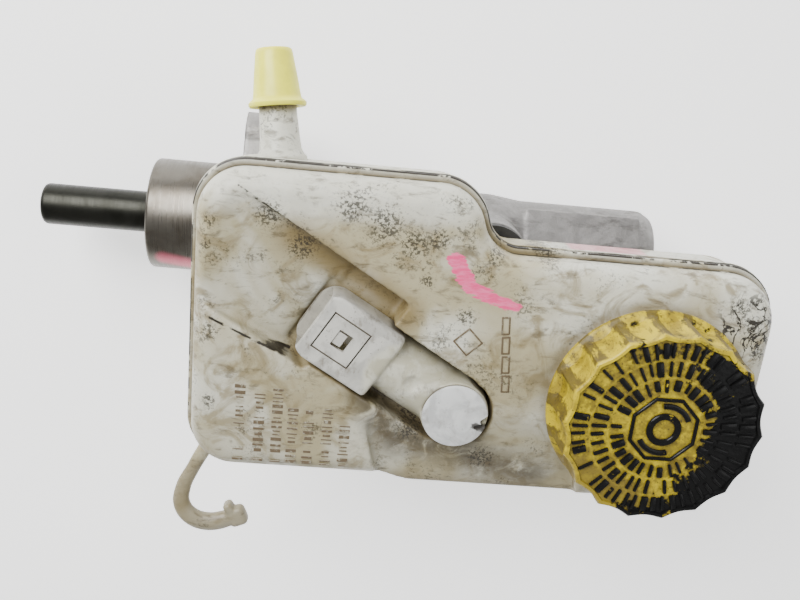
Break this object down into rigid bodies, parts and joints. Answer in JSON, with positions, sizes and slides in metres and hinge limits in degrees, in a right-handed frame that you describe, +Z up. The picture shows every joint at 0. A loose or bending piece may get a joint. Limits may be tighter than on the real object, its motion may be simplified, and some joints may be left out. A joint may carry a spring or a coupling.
{
  "type": "tandem brake master cylinder",
  "caption": "Tandem brake master cylinder with spigot, two-stud flange, moulded fluid reservoir, screw filler cap, level sensor and hose port.",
  "frame": {"origin": "centre of the mounting flange's rear (booster) face, on the bore axis", "axes": "+X along the bore from the booster towards the closed nose, +Z up towards the filler cap, +Y towards the hose port"},
  "size_m": [0.2443, 0.1676, 0.1042],
  "materials": {
    "cast_aluminium": "as-cast, machined on the spigot",
    "piston_aluminium": "satin anodised",
    "dark_steel": "ground and oiled",
    "zinc_steel": "zinc plated",
    "spring_steel": "drawn wire",
    "black_rubber": "matt",
    "reservoir_plastic": "translucent natural, grimy",
    "sensor_plastic": "smooth",
    "cap_plastic": "smooth, oily",
    "plug_plastic": "soft, slightly glossy",
    "guide_plastic": "glass-filled",
    "float_plastic": "foamed",
    "brass": "drawn",
    "tinned_brass": "tinned",
    "switch_glass": "clear green",
    "ferrite": "sintered ferrite"
  },
  "bodies": {
    "cylinder": {"cylinder_body": "cast_aluminium", "flange_o_ring": "black_rubber", "retaining_ring": "spring_steel", "stop_washer": "zinc_steel", "stem_seal": "black_rubber", "guide_bush": "guide_plastic", "stop_pin": "zinc_steel", "secondary_spring": "spring_steel", "rear_grommet": "black_rubber", "front_grommet": "black_rubber", "reservoir_pin": "zinc_steel", "reservoir_lower_shell": "reservoir_plastic", "hose_nipple": "reservoir_plastic", "hook_arm": "reservoir_plastic", "reservoir_upper_shell": "reservoir_plastic", "neck_ring": "reservoir_plastic", "reservoir_baffle": "reservoir_plastic", "sensor_housing": "sensor_plastic", "sensor_end_plug": "sensor_plastic", "reed_switch": "switch_glass", "contact_pins": "tinned_brass", "filler_strainer": "guide_plastic"},
    "primary_piston": {"primary_piston": "piston_aluminium", "piston_stem": "dark_steel", "primary_rear_cup": "black_rubber", "primary_backing_ring": "guide_plastic", "primary_pressure_cup": "black_rubber", "captive_screw": "brass", "primary_spring": "spring_steel"},
    "secondary_piston": {"secondary_piston": "piston_aluminium", "secondary_rear_cup": "black_rubber", "secondary_backing_ring": "guide_plastic", "secondary_pressure_cup": "black_rubber", "secondary_spring_seat": "zinc_steel", "spring_sleeve": "zinc_steel"},
    "float": {"float": "float_plastic", "float_magnet": "ferrite"},
    "cap_seal": {"cap_seal": "black_rubber"},
    "filler_cap": {"filler_cap": "cap_plastic", "cap_skirt": "cap_plastic", "cap_vent_disc": "guide_plastic"},
    "hose_port_plug": {"hose_port_plug": "plug_plastic"}
  },
  "joints": [
    {"name": "primary_slide", "type": "slide", "parent": "cylinder", "child": "primary_piston", "axis": [1, 0, 0], "range_m": [0, 0.03], "stiffness_N_per_m": 3000, "springref_m": -0.012, "deforming": ["primary_spring"]},
    {"name": "secondary_slide", "type": "slide", "parent": "cylinder", "child": "secondary_piston", "axis": [1, 0, 0], "range_m": [0, 0.015], "stiffness_N_per_m": 3000, "springref_m": -0.012, "deforming": ["secondary_spring"]},
    {"name": "float_rise", "type": "slide", "parent": "cylinder", "child": "float", "axis": [0, 0, 1], "range_m": [0, 0.008]},
    {"name": "cap_lift", "type": "slide", "parent": "cylinder", "child": "cap_seal", "axis": [0, 0, 1], "range_m": [0, 0.0091]},
    {"name": "cap_turn", "type": "hinge", "parent": "cap_seal", "child": "filler_cap", "pos_m": [0.1346, -0.0325, 0.076], "axis": [0, 0, 1], "range_deg": [0, 540]},
    {"name": "plug_pull", "type": "slide", "parent": "cylinder", "child": "hose_port_plug", "axis": [-0.1402, 0.9717, -0.1903], "range_m": [0, 0.03]}
  ],
  "couplings": [
    {"joint": "secondary_slide", "follows": "primary_slide", "ratio": 0.5},
    {"joint": "cap_lift", "follows": "cap_turn", "m_per_rad": 0.00095493}
  ]
}
